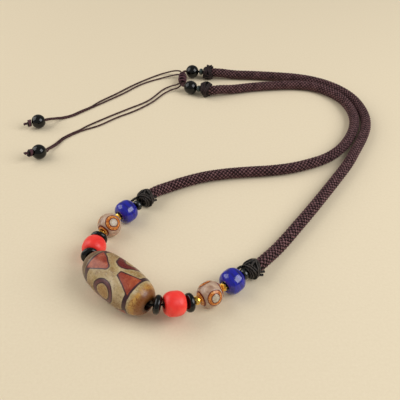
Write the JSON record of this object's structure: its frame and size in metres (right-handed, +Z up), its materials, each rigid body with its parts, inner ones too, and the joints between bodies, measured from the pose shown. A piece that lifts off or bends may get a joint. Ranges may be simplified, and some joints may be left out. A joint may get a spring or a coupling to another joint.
{
  "type": "dzi bead necklace",
  "caption": "Necklace lying in a loop: a large patterned agate barrel between rows of coloured beads, thick braided cord, a sliding knot and thin beaded tails.",
  "frame": {"origin": "the surface it lies on, below the middle of the box of its beads and knots without the cords and tails", "axes": "+X to the wearer's side with the bend of the cords, +Y from the front bead to the sliding knot, +Z up from the surface"},
  "size_m": [0.1879, 0.1913, 0.0164],
  "materials": {
    "dzi_agate": "satin polish, etched pattern",
    "etched_agate": "polished",
    "black_bead": "glossy",
    "red_bead": "satin",
    "blue_bead": "glossy",
    "gold_seed": "bright faceted",
    "teal_spacer": "glossy",
    "braided_cord": "braided",
    "black_cord": "waxed",
    "brown_thread": "twisted"
  },
  "bodies": {
    "root": {"dzi_bead": "dzi_agate", "disc_right_inner": "black_bead", "disc_right_outer": "black_bead", "disc_left_inner": "black_bead", "disc_left_outer": "black_bead", "coral_right": "red_bead", "coral_left": "red_bead", "seed_right_inner": "gold_seed", "seed_right_outer": "gold_seed", "seed_left_inner": "gold_seed", "seed_left_outer": "gold_seed", "eye_bead_right": "etched_agate", "eye_bead_left": "etched_agate", "blue_bead_right": "blue_bead", "blue_bead_left": "blue_bead", "spacer_right": "black_bead", "spacer_left": "black_bead", "knot_right": "black_cord", "knot_left": "black_cord", "bead_string": "black_cord", "cord_right": "braided_cord", "cord_left": "braided_cord", "rear_knot_right": "black_cord", "rear_knot_left": "black_cord", "rear_spacer_right": "teal_spacer", "rear_spacer_left": "teal_spacer", "rear_bead_right": "black_bead", "rear_bead_left": "black_bead", "rear_thread_right": "brown_thread", "rear_thread_left": "brown_thread", "slider_knot": "brown_thread", "tail_upper_a": "brown_thread", "tail_upper_b": "brown_thread", "tail_lower_a": "brown_thread", "tail_lower_b": "brown_thread", "end_bead_upper": "black_bead", "end_bead_lower": "black_bead", "end_knot_upper": "brown_thread", "end_knot_lower": "brown_thread"}
  },
  "joints": []
}
